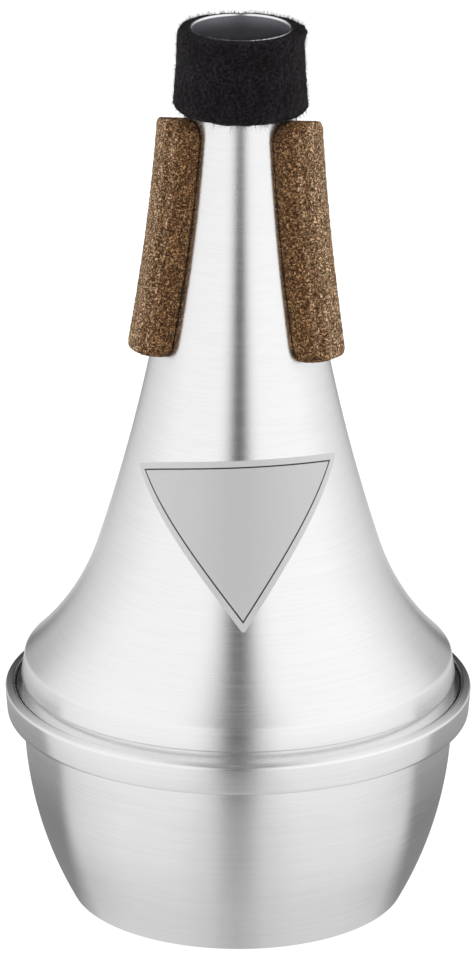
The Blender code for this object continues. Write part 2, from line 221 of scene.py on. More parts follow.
class ConeSurface:
    """The cone's outer surface: a long neck arc, a tighter flare arc, the shoulder's round and the band."""

    def __init__(self, sizes):
        self.sizes = sizes
        self.hem_top = sizes.shelf_height + sizes.collar_height + sizes.hem_rise
        self.hem_inner_radius = sizes.collar_radius - sizes.hem_width
        self.band_radius = self.hem_inner_radius - sizes.groove_width
        self.band_foot = self.hem_top + sizes.band_lift
        self.ledge_height = self.hem_top - sizes.ledge_depth
        self.skirt_radius = self.hem_inner_radius - sizes.seat_gap
        band_top_radius = self.band_radius - sizes.band_height * math.tan(sizes.band_slope)
        band_top_height = self.band_foot + sizes.band_height
        foot_radius = band_top_radius - self.shoulder_spread(sizes.band_slope)
        foot_height = band_top_height + self.shoulder_drop(sizes.band_slope)
        spread = foot_radius - sizes.neck_tip_radius
        rise = sizes.height - foot_height
        neck_cos = math.cos(sizes.neck_slope) - math.cos(sizes.flare_slope)
        neck_sin = math.sin(sizes.flare_slope) - math.sin(sizes.neck_slope)
        flare_cos = math.cos(sizes.flare_slope) - math.cos(sizes.shoulder_slope)
        flare_sin = math.sin(sizes.shoulder_slope) - math.sin(sizes.flare_slope)
        both = neck_cos * flare_sin - flare_cos * neck_sin
        self.neck_bow = (spread * flare_sin - flare_cos * rise) / both
        self.flare_bow = (neck_cos * rise - neck_sin * spread) / both
        self.neck_length = self.neck_bow * (sizes.flare_slope - sizes.neck_slope)
        self.flare_length = self.flare_bow * (sizes.shoulder_slope - sizes.flare_slope)

    def shoulder_spread(self, slope):
        """How far out the shoulder's round has gone where it leans that much."""
        return self.sizes.shoulder_round * (math.cos(slope) - math.cos(self.sizes.shoulder_slope))

    def shoulder_drop(self, slope):
        """How far down the shoulder's round has gone where it leans that much."""
        return self.sizes.shoulder_round * (math.sin(self.sizes.shoulder_slope) - math.sin(slope))

    def at(self, distance):
        """Radius, height and slope, that far down the meridian from the rim."""
        sizes = self.sizes
        if distance <= self.neck_length:
            slope = sizes.neck_slope + distance / self.neck_bow
            radius = sizes.neck_tip_radius + self.neck_bow * (math.cos(sizes.neck_slope) - math.cos(slope))
            height = sizes.height - self.neck_bow * (math.sin(slope) - math.sin(sizes.neck_slope))
            return radius, height, slope
        radius, height, _ = self.at(self.neck_length)
        slope = sizes.flare_slope + (distance - self.neck_length) / self.flare_bow
        radius += self.flare_bow * (math.cos(sizes.flare_slope) - math.cos(slope))
        height -= self.flare_bow * (math.sin(slope) - math.sin(sizes.flare_slope))
        return radius, height, slope

    def off(self, distance, azimuth, stand_off):
        """A point that far outside the surface, along its normal."""
        radius, height, slope = self.at(distance)
        radius += stand_off * math.cos(slope)
        height += stand_off * math.sin(slope)
        return Vector((radius * math.cos(azimuth), radius * math.sin(azimuth), height))

    def meridian(self, neck_steps=36, flare_steps=30, shoulder_steps=8):
        """(radius, height, slope) from the rim down to the top of the band."""
        sizes = self.sizes
        points = [self.at(self.neck_length * i / neck_steps) for i in range(neck_steps)]
        points += [
            self.at(self.neck_length + self.flare_length * i / flare_steps)
            for i in range(flare_steps + 1)
        ]
        radius, height, _ = points[-1]
        for i in range(1, shoulder_steps + 1):
            slope = sizes.shoulder_slope + (sizes.band_slope - sizes.shoulder_slope) * i / shoulder_steps
            points.append((radius + self.shoulder_spread(slope), height - self.shoulder_drop(slope), slope))
        return points


def cone_outline(surface):
    """Closed meridian of the cone: down its outer side, round the stepped skirt, up its inner side."""
    sizes = surface.sizes
    wall = sizes.cone_wall
    meridian = surface.meridian()
    outer = [(radius, height) for radius, height, _ in meridian]
    inner = [
        (radius - wall * math.cos(slope), height - wall * math.sin(slope))
        for radius, height, slope in meridian
    ]
    mouth_radius = sizes.neck_tip_radius - wall
    chamfer_width = sizes.rim_chamfer * math.tan(sizes.rim_lean)
    inner[:1] = [(mouth_radius + chamfer_width, sizes.height), (mouth_radius, sizes.height - sizes.rim_chamfer)]
    recess_radius = surface.band_radius - sizes.band_edge_round
    edge_height = surface.band_foot + sizes.band_edge_round
    edge = arc((recess_radius, edge_height), sizes.band_edge_round, 0.0, FRONT, 6)
    skirt_foot = sizes.shelf_height + sizes.cup_wall + sizes.seat_gap
    skirt = [
        (recess_radius, surface.ledge_height),
        (surface.skirt_radius, surface.ledge_height),
        (surface.skirt_radius, skirt_foot),
        (surface.skirt_radius - wall, skirt_foot),
        (surface.skirt_radius - wall, surface.ledge_height - wall),
        (recess_radius - wall, surface.ledge_height - wall),
        (recess_radius - wall, surface.band_foot),
    ]
    outline = outer + edge + skirt + inner[::-1]
    return rounded(outline, {0: sizes.rim_round, len(outline) - 1: sizes.rim_round}, 4)


def cup_wall_arc(sizes, inset, steps=30):
    """Points up the bowed cup wall, from the base edge to the mouth, that far inside its outer surface."""
    mouth_radius = sizes.collar_radius - sizes.shelf_width
    spread = mouth_radius - sizes.base_radius
    bow = (spread ** 2 + sizes.shelf_height ** 2) / (2 * spread)
    centre = (mouth_radius - bow, sizes.shelf_height)
    radius = bow - inset
    return arc(centre, radius, -math.asin((sizes.shelf_height - inset) / radius), 0.0, steps)


def cup_outline(surface):
    """Open meridian of the cup: from the axis up the inside, over the hem and down the outside."""
    sizes = surface.sizes
    wall = sizes.cup_wall
    collar_foot_radius = sizes.collar_radius - sizes.collar_taper
    shelf_top = sizes.shelf_height + wall
    hem_foot = surface.hem_top - sizes.hem_depth
    top = [
        (collar_foot_radius - wall, shelf_top),
        (collar_foot_radius - wall, hem_foot),
        (surface.hem_inner_radius, hem_foot),
        (surface.hem_inner_radius, surface.hem_top),
        (sizes.collar_radius, sizes.shelf_height + sizes.collar_height),
        (collar_foot_radius, sizes.shelf_height),
    ]
    outline = [(0.0, wall)] + cup_wall_arc(sizes, wall)
    outline.append((sizes.collar_radius - sizes.shelf_width - wall, shelf_top))
    first_top = len(outline)
    outline += top + cup_wall_arc(sizes, 0.0)[::-1] + [(0.0, 0.0)]
    rounds = {
        first_top + 3: sizes.hem_inner_round,
        first_top + 4: sizes.hem_outer_round,
        first_top + 5: sizes.collar_corner_round,
        len(outline) - 2: sizes.base_edge_round,
    }
    return rounded(outline, rounds)


# Modelling steps

def deselect():
    if bpy.context.object and bpy.context.object.mode != "OBJECT":
        bpy.ops.object.mode_set(mode="OBJECT")
    bpy.ops.object.select_all(action="DESELECT")


def make_active(piece):
    deselect()
    piece.select_set(True)
    bpy.context.view_layer.objects.active = piece


def name_new(name):
    """Names the object that an operator has just added."""
    piece = bpy.context.object
    piece.name = name
    piece.data.name = name
    return piece


def edit_all():
    bpy.ops.object.mode_set(mode="EDIT")
    bpy.ops.mesh.select_all(action="SELECT")


def face_out(piece):
    make_active(piece)
    edit_all()
    bpy.ops.mesh.normals_make_consistent(inside=False)
    bpy.ops.object.mode_set(mode="OBJECT")


def apply_scale(piece, scale):
    """Scales the piece and puts its place and size into its mesh."""
    piece.scale = scale
    make_active(piece)
    bpy.ops.object.transform_apply(location=True, rotation=True, scale=True)


def apply_modifiers(piece):
    make_active(piece)
    for modifier in list(piece.modifiers):
        bpy.ops.object.modifier_apply(modifier=modifier.name)


def spin_outline(name, outline, closed):
    """Draws the outline from one vertex by extruding it, then spins it once round Z."""
    deselect()
    bpy.ops.mesh.primitive_plane_add(size=0.001, location=(0.0, 0.0, 0.0))
    piece = name_new(name)
    edit_all()
    bpy.ops.mesh.merge(type="CENTER")
    points = [Vector((x, 0.0, z)) for x, z in outline]
    bpy.ops.transform.translate(value=points[0])
    for here, there in zip(points, points[1:]):
        bpy.ops.mesh.extrude_region_move(TRANSFORM_OT_translate={"value": there - here})
    if closed:
        bpy.ops.object.mode_set(mode="OBJECT")
        piece.data.vertices[0].select = True
        bpy.ops.object.mode_set(mode="EDIT")
        bpy.ops.mesh.edge_face_add()
    bpy.ops.mesh.select_all(action="SELECT")
    bpy.ops.mesh.spin(steps=SPIN_STEPS, angle=FULL_TURN, center=(0.0, 0.0, 0.0), axis=(0.0, 0.0, 1.0))
    bpy.ops.mesh.select_all(action="SELECT")
    bpy.ops.mesh.remove_doubles(threshold=MERGE)
    bpy.ops.mesh.normals_make_consistent(inside=False)
    bpy.ops.object.mode_set(mode="OBJECT")
    bpy.ops.object.shade_smooth_by_angle(angle=SHARP_ANGLE)
    return piece


def wrap_piece(piece, place):
    """Moves every vertex of a flat piece to where place puts its sideways, down and depth."""
    for vertex in piece.data.vertices:
        vertex.co = place(*vertex.co)
    piece.data.update()
    face_out(piece)


def roughen(piece, name, grain, strength, group):
    """Displaces the piece's open surface by clouds of that grain."""
    texture = bpy.data.textures.new(name, "CLOUDS")
    texture.noise_scale = grain
    modifier = piece.modifiers.new(name, "DISPLACE")
    modifier.texture = texture
    modifier.texture_coords = "LOCAL"
    modifier.vertex_group = group
    modifier.strength = strength
    apply_modifiers(piece)


def mark_open_side(piece, name, glued_depth):
    """Groups the vertices of a flat piece that stand clear of its glued side."""
    group = piece.vertex_groups.new(name=name)
    group.add([v.index for v in piece.data.vertices if v.co.z > glued_depth], 1.0, "REPLACE")


def finish_piece(piece, material, slot, *nodes):
    """Gives the finished piece its material, its body and the nodes that it stands for."""
    piece.data.materials.clear()
    piece.data.materials.append(material)
    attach(piece, BODY)
    if nodes:
        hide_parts(*nodes)
    deselect()


# Materials

class NodeTree:
    """Short calls for building a node tree."""

    def __init__(self, tree):
        self.tree = tree

    def add(self, kind, **settings):
        node = self.tree.nodes.new(kind)
        for key, value in settings.items():
            setattr(node, key, value)
        return node

    def put(self, value, socket):
        """Links a socket, or sets a number or a colour."""
        if isinstance(value, bpy.types.NodeSocket):
            self.tree.links.new(value, socket)
        elif isinstance(value, (int, float)):
            socket.default_value = value
        elif socket.type == "RGBA":
            socket.default_value = (*value, 1.0)
        else:
            socket.default_value = tuple(value)

    def coordinates(self, output="Object"):
        return self.add("ShaderNodeTexCoord").outputs[output]

    def split(self, vector):
        node = self.add("ShaderNodeSeparateXYZ")
        self.put(vector, node.inputs[0])
        return node.outputs

    def join(self, x, y, z):
        node = self.add("ShaderNodeCombineXYZ")
        for socket, value in zip(node.inputs, (x, y, z)):
            self.put(value, socket)
        return node.outputs[0]

    def maths(self, operation, first, second=0.0):
        node = self.add("ShaderNodeMath", operation=operation)
        self.put(first, node.inputs[0])
        self.put(second, node.inputs[1])
        return node.outputs[0]

    def noise(self, vector, scale, detail=2.0, roughness=0.5):
        node = self.add("ShaderNodeTexNoise")
        self.put(vector, node.inputs["Vector"])
        node.inputs["Scale"].default_value = scale
        node.inputs["Detail"].default_value = detail
        node.inputs["Roughness"].default_value = roughness
        return node.outputs["Fac"]

    def ramp(self, value, stops, interpolation="LINEAR"):
        """A colour ramp through (position, colour) stops."""
        node = self.add("ShaderNodeValToRGB")
        self.put(value, node.inputs["Fac"])
        node.color_ramp.interpolation = interpolation
        elements = node.color_ramp.elements
        while len(elements) < len(stops):
            elements.new(1.0)
        for element, (position, tone) in zip(elements, stops):
            element.position = position
            element.color = (*tone, 1.0)
        return node.outputs["Color"]

    def span(self, value, low, high, to_low=0.0, to_high=1.0):
        """The value carried from one range to another, held at its ends."""
        node = self.add("ShaderNodeMapRange")
        for socket, number in zip(node.inputs, (value, low, high, to_low, to_high)):
            self.put(number, socket)
        return node.outputs["Result"]

    def mix(self, share, first, second, blend="MIX"):
        node = self.add("ShaderNodeMix", data_type="RGBA", blend_type=blend)
        self.put(share, node.inputs["Factor"])
        colours = [socket for socket in node.inputs if socket.type == "RGBA"]
        self.put(first, colours[0])
        self.put(second, colours[1])
        return next(socket for socket in node.outputs if socket.type == "RGBA")

    def bump(self, height, strength, distance):
        node = self.add("ShaderNodeBump")
        self.put(height, node.inputs["Height"])
        node.inputs["Strength"].default_value = strength
        node.inputs["Distance"].default_value = distance
        return node.outputs["Normal"]


def grey_stops(stops, whole=1.0):
    """Stops of a colour ramp from (position, brightness), where whole is the last position."""
    return [(position / whole, (level,) * 3) for position, level in stops]


class Finish(NodeTree):
    """A material under one Principled shader."""

    def __init__(self, name):
        self.material = bpy.data.materials.new(name)
        self.material.use_nodes = True
        super().__init__(self.material.node_tree)
        self.shader = self.tree.nodes["Principled BSDF"]

    def set(self, **sockets):
        for name, value in sockets.items():
            self.put(value, self.shader.inputs[name.replace("_", " ").title().replace("Ior", "IOR")])


def dim(tone, share):
    return tuple(channel * share for channel in tone)


def spun_aluminium(name, tone, roughness, stretch=0.75):
    """Aluminium with the fine rings that the spinning tool leaves, and the gloss that they stretch."""
    finish = Finish(name)
    place = finish.coordinates()
    x, y, z = finish.split(place)
    squares = finish.maths("ADD", finish.maths("MULTIPLY", x, x), finish.maths("MULTIPLY", y, y))
    radius = finish.maths("MAXIMUM", finish.maths("SQRT", squares), 0.0001)
    along = finish.maths("SUBTRACT", z, radius)
    round_x = finish.maths("DIVIDE", x, radius)
    round_y = finish.maths("DIVIDE", y, radius)

    def rings(per_metre, round_share, detail, roughness_share):
        """Noise that is quick along the meridian and slow round the axis."""
        vector = finish.join(
            finish.maths("MULTIPLY", round_x, round_share),
            finish.maths("MULTIPLY", round_y, round_share),
            finish.maths("MULTIPLY", along, per_metre))
        return finish.noise(vector, 1.0, detail, roughness_share)

    scratches = rings(3400.0, 22.0, 2.0, 0.6)
    fine = rings(2600.0, 2.5, 3.0, 0.6)
    broad = rings(600.0, 1.0, 2.0, 0.5)
    lines = finish.maths("ADD", finish.maths("MULTIPLY", fine, 0.7), finish.maths("MULTIPLY", broad, 0.3))
    cloud = finish.span(finish.noise(place, 38.0, 3.0, 0.55), 0.3, 0.7, -0.02, 0.03)
    rough = finish.span(lines, 0.3, 0.7, roughness - 0.03, roughness + 0.03)
    cross = finish.add("ShaderNodeVectorMath", operation="CROSS_PRODUCT")
    finish.put((0.0, 0.0, 1.0), cross.inputs[0])
    finish.put(place, cross.inputs[1])
    finish.set(
        base_color=finish.mix(finish.span(lines, 0.36, 0.64), dim(tone, 0.965), dim(tone, 1.01)),
        roughness=finish.maths("ADD", rough, cloud),
        metallic=1.0,
        anisotropic=stretch,
        anisotropic_rotation=0.25,
        tangent=cross.outputs[0],
        normal=finish.bump(scratches, 0.3, 0.00003))
    return finish.material


def pressed_cork(tones):
    """Flakes of cork that lie two ways in a dark binder, with painted light: paler on the outer face, which looks
    away from the axis, and darker on the sides.
    """
    finish = Finish("pressed_cork")
    place = finish.coordinates()
    bend = finish.add("ShaderNodeTexNoise")
    bend.inputs["Scale"].default_value = 1600.0
    finish.put(place, bend.inputs["Vector"])
    shift = finish.add("ShaderNodeVectorMath", operation="MULTIPLY_ADD")
    finish.put(bend.outputs["Color"], shift.inputs[0])
    finish.put((0.0003, 0.0003, 0.0003), shift.inputs[1])
    finish.put(place, shift.inputs[2])

    def flakes(stretch):
        """Tone and edge distance of flakes that are long where the stretch is small."""
        vector = finish.add("ShaderNodeVectorMath", operation="MULTIPLY")
        finish.put(shift.outputs[0], vector.inputs[0])
        finish.put(stretch, vector.inputs[1])
        cells = finish.add("ShaderNodeTexVoronoi", feature="F1")
        walls = finish.add("ShaderNodeTexVoronoi", feature="DISTANCE_TO_EDGE")
        for texture in (cells, walls):
            texture.inputs["Scale"].default_value = 3800.0
            finish.put(vector.outputs[0], texture.inputs["Vector"])
        pick = finish.add("ShaderNodeSeparateColor")
        finish.put(cells.outputs["Color"], pick.inputs[0])
        tone = finish.ramp(pick.outputs[0], [
            (0.0, dim(tones.cork_brown, 0.12)),
            (0.32, dim(tones.cork_brown, 0.52)),
            (0.60, dim(tones.cork_brown, 1.25)),
            (0.80, dim(tones.cork_tan, 0.66)),
            (1.0, dim(tones.cork_tan, 1.45)),
        ])
        return tone, walls.outputs["Distance"]

    upright, upright_edge = flakes((1.5, 1.5, 0.7))
    flat, flat_edge = flakes((0.75, 0.75, 1.6))
    lie = finish.span(finish.noise(place, 1100.0, 1.0, 0.5), 0.48, 0.52)
    tone = finish.mix(lie, upright, flat)
    edge = finish.mix(lie, upright_edge, flat_edge)
    wall = finish.span(edge, 0.0, 0.09, 1.0, 0.0)
    grain = finish.noise(place, 5200.0, 2.0, 0.6)
    body = finish.mix(finish.maths("MULTIPLY", wall, 0.80), tone, tones.cork_binder)
    body = finish.mix(finish.span(grain, 0.44, 0.68, 0.0, 0.65), body, tones.cork_binder)
    x, y, _ = finish.split(place)
    out = finish.add("ShaderNodeVectorMath", operation="NORMALIZE")
    finish.put(finish.join(x, y, 0.0), out.inputs[0])
    normal_x, normal_y, _ = finish.split(finish.coordinates("Normal"))
    level = finish.add("ShaderNodeVectorMath", operation="NORMALIZE")
    finish.put(finish.join(normal_x, normal_y, 0.0), level.inputs[0])
    facing = finish.add("ShaderNodeVectorMath", operation="DOT_PRODUCT")
    finish.put(out.outputs[0], facing.inputs[0])
    finish.put(level.outputs[0], facing.inputs[1])
    # Painted light: faces that look out from the axis get a paler colour and the sides a darker one, for the side
    # light that they catch
    sanded = finish.span(facing.outputs["Value"], 0.92, 0.995)
    shade = finish.mix(sanded, (0.87, 0.75, 0.60), (1.40, 1.48, 1.58))
    height = finish.maths("SUBTRACT", finish.maths("MULTIPLY", grain, 0.5), wall)
    finish.set(base_color=finish.mix(1.0, body, shade, "MULTIPLY"), roughness=0.85, specular_ior_level=0.3,
               normal=finish.bump(height, 0.7, 0.0002))
    return finish.material


def black_felt(tones):
    """Matted black fibres with a faint dusty bloom."""
    finish = Finish("black_felt")
    place = finish.coordinates()
    matting = finish.noise(place, 2000.0, 4.0, 0.7)
    clumps = finish.noise(place, 260.0, 3.0, 0.6)
    share = finish.maths("MULTIPLY", finish.span(matting, 0.42, 0.68), finish.span(clumps, 0.3, 0.7, 0.4, 1.0))
    finish.set(
        base_color=finish.mix(share, tones.felt, dim(tones.felt, 8.0)),
        roughness=1.0,
        specular_ior_level=0.1,
        sheen_weight=0.06,
        sheen_roughness=0.5,
        normal=finish.bump(matting, 1.0, 0.0004))
    return finish.material


def satin_foil(name, tone):
    """Satin foil, evenly grey, with a faint grain."""
    finish = Finish(name)
    place = finish.coordinates()
    grain = finish.noise(place, 5200.0, 2.0, 0.6)
    cloud = finish.span(finish.noise(place, 90.0, 2.0, 0.5), 0.3, 0.7, -0.02, 0.03)
    finish.set(
        base_color=finish.mix(finish.span(grain, 0.35, 0.65), dim(tone, 0.94), tone),
        roughness=finish.maths("ADD", finish.span(grain, 0.3, 0.7, 0.50, 0.58), cloud),
        metallic=0.35,
        normal=finish.bump(grain, 0.15, 0.00003))
    return finish.material


def printed_ink(tones):
    """Ink of the plate's border line, a little worn."""
    finish = Finish("printed_ink")
    speckle = finish.noise(finish.coordinates(), 3000.0, 2.0, 0.6)
    finish.set(
        base_color=finish.mix(finish.span(speckle, 0.45, 0.75), tones.ink, dim(tones.ink, 2.2)),
        roughness=0.45)
    return finish.material


def cured_adhesive(name, tone):
    """Dark adhesive with a lumpy skin."""
    finish = Finish(name)
    lumps = finish.noise(finish.coordinates(), 700.0, 3.0, 0.6)
    finish.set(
        base_color=finish.mix(lumps, tone, dim(tone, 1.8)),
        roughness=0.5,
        normal=finish.bump(lumps, 0.5, 0.0003))
    return finish.material


# Pieces

class MUTE_OT_spin_base_cup(bpy.types.Operator):
    """Spin the base cup: flat base, bowed wall, shelf, collar and hemmed lip"""

    bl_idname = "mute.spin_base_cup"
    bl_label = "Spin base cup"

    def execute(self, context):
        surface = ConeSurface(context.scene.mute_sizes)
        piece = spin_outline("spun_base_cup", cup_outline(surface), closed=False)
        material = spun_aluminium("spun_aluminium_cup", context.scene.mute_finish.aluminium, 0.24)
        finish_piece(piece, material, "spun_aluminium", "base_cup")
        return {"FINISHED"}


class MUTE_OT_spin_cone(bpy.types.Operator):
    """Spin the cone: open neck, flare, shoulder, band and skirt"""

    bl_idname = "mute.spin_cone"
    bl_label = "Spin cone"

    def execute(self, context):
        surface = ConeSurface(context.scene.mute_sizes)
        piece = spin_outline("spun_cone", cone_outline(surface), closed=True)
        tones = context.scene.mute_finish
        material = spun_aluminium("spun_aluminium_cone", tones.aluminium, 0.24)
        finish_piece(piece, material, "spun_aluminium", "cone_shell")
        # Painted shade: the inside gets a dark colour for the shade in the neck, with a rougher finish of its own.
        piece.data.materials.append(spun_aluminium("unpolished_shaded_inside", tones.inside, 0.50, 0.2))
        below_rim = surface.sizes.height - surface.sizes.rim_chamfer
        for polygon in piece.data.polygons:
            outwards = polygon.normal.xy.dot(polygon.center.xy)
            polygon.material_index = int(outwards < 0 and polygon.center.z < below_rim)
        return {"FINISHED"}


class MUTE_OT_finish_adhesive(bpy.types.Operator):
    """Give the bead of adhesive in the collar its finish"""

    bl_idname = "mute.finish_adhesive"
    bl_label = "Finish adhesive"

    def execute(self, context):
        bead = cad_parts["joint_adhesive"]
        bead.data.materials.clear()
        tone = context.scene.mute_finish.adhesive
        bead.data.materials.append(cured_adhesive("cured_adhesive", tone))
        return {"FINISHED"}


class MUTE_OT_glue_corks(bpy.types.Operator):
    """Cut the cork strips, bend them on the neck and lay their dark glue lines, which also paint the contact shadow
    at their feet
    """

    bl_idname = "mute.glue_corks"
    bl_label = "Glue corks"

    nodes = ("cork_strip_back", "cork_strip_left", "cork_strip_right")
    drifts = (0.0, -3.1, -0.3)
    slants = (0.0, 0.10, -1.48)
    voxel = 0.00026
    fall_reach = 0.0015
    layers = 16

    def execute(self, context):
        sizes = context.scene.mute_sizes
        surface = ConeSurface(sizes)
        cork = pressed_cork(context.scene.mute_finish)
        glue = cured_adhesive("cork_glue_shadow", context.scene.mute_finish.cork_glue_shadow)
        top = sizes.felt_height + sizes.cork_below_felt
        height = sizes.seat_gap + sizes.cork_thickness
        for i, node in enumerate(self.nodes):
            middle = BACK + sizes.cork_turn + FULL_TURN * i / len(self.nodes) + math.radians(self.drifts[i])
            front = -1 if node == "cork_strip_right" else 1

            def place(sideways, down, depth, middle=middle, front=front, slant=self.slants[i]):
                share = down / sizes.cork_length
                slope = sizes.cork_top_slope * (1 - share) + sizes.cork_foot_slope * share
                down += (0.5 - sideways / sizes.cork_width) ** 2 * slope
                radius, _, _ = surface.at(top + down)
                azimuth = middle + front * sideways / radius + slant * (down - sizes.cork_length / 2)
                forward = min(max(sideways / self.fall_reach + 1, 0.0), 2.0) / 2
                depth *= 1 - sizes.cork_front_fall * forward ** 2 / height
                return surface.off(top + down, azimuth, depth)

            strip = self.cut_strip("pressed_" + node, sizes, sizes.glue_shadow_line, height, self.layers)
            self.shape_sides(strip, sizes, height)
            self.grain_strip(strip)
            mark_open_side(strip, "open_side", 2 * sizes.glue_shadow_line)
            wrap_piece(strip, place)
            roughen(strip, "granules", 0.0005, 0.00026, "open_side")
            bpy.ops.object.shade_smooth()
            finish_piece(strip, cork, "cork", node)
            # Painted shadow: a dark glue line under the cork, coloured as the contact shadow at its foot
            line = self.cut_strip("glue_" + node, sizes, sizes.glue_film, sizes.glue_shadow_line + sizes.glue_film, 1)
            self.draw_in(line, sizes)
            wrap_piece(line, place)
            finish_piece(line, glue, "dark_adhesive")
        return {"FINISHED"}

    def cut_strip(self, name, sizes, low, high, layers):
        """A flat strip between two depths, its front corners at +X rounder than its back ones."""
        deselect()
        bpy.ops.mesh.primitive_plane_add(size=1.0, location=(0.0, sizes.cork_length / 2, low))
        strip = name_new(name)
        apply_scale(strip, (sizes.cork_width, sizes.cork_length, 1.0))
        corners = (
            (1, 0.0, sizes.cork_front_round),
            (1, sizes.cork_length, sizes.cork_foot_round),
            (-1, 0.0, sizes.cork_back_round),
            (-1, sizes.cork_length, sizes.cork_back_round),
        )
        for side, down, turn in corners:
            corner = Vector((side * sizes.cork_width / 2, down, low))
            make_active(strip)
            bpy.ops.object.mode_set(mode="EDIT")
            bpy.ops.mesh.select_all(action="DESELECT")
            bpy.ops.object.mode_set(mode="OBJECT")
            for vertex in strip.data.vertices:
                vertex.select = (vertex.co - corner).length < MERGE
            bpy.ops.object.mode_set(mode="EDIT")
            bpy.ops.mesh.select_mode(type="VERT")
            bpy.ops.mesh.bevel(offset=turn, segments=8, affect="VERTICES")
            bpy.ops.object.mode_set(mode="OBJECT")
        edit_all()
        for _ in range(layers):
            bpy.ops.mesh.extrude_region_move(TRANSFORM_OT_translate={"value": (0.0, 0.0, (high - low) / layers)})
        bpy.ops.object.mode_set(mode="OBJECT")
        face_out(strip)
        return strip

    @staticmethod
    def shape_sides(strip, sizes, height):
        """Leans the front side back and rounds the outer edges, the front one most."""
        half = sizes.cork_width / 2
        middle = sizes.cork_length / 2
        for vertex in strip.data.vertices:
            spot = vertex.co
            forward = max(spot.x - half + sizes.cork_front_round, 0.0) / sizes.cork_front_round
            small = rounded_in(height - spot.z, sizes.cork_edge_round)
            large = rounded_in(height - spot.z, sizes.cork_front_turn)
            if spot.x < 0:
                spot.x -= small * spot.x / half
            spot.x -= forward * (spot.z * math.tan(sizes.cork_front_lean) + large)
            spot.y -= small * (spot.y - middle) / middle

    def grain_strip(self, strip):
        """Gives the strip a mesh fine enough for the flakes."""
        grain = strip.modifiers.new("Grain", "REMESH")
        grain.mode = "VOXEL"
        grain.voxel_size = self.voxel
        apply_modifiers(strip)

    @staticmethod
    def draw_in(line, sizes):
        """Draws the glue line in from the cork's edge and cuts it finely enough to bend."""
        make_active(line)
        for vertex in line.data.vertices:
            vertex.co.x *= 1 - 2 * sizes.glue_inset / sizes.cork_width
            vertex.co.y += sizes.glue_inset * (1 - 2 * vertex.co.y / sizes.cork_length)
        grain = line.modifiers.new("Grain", "REMESH")
        grain.mode = "VOXEL"
        grain.voxel_size = sizes.glue_shadow_line / 2
        apply_modifiers(line)


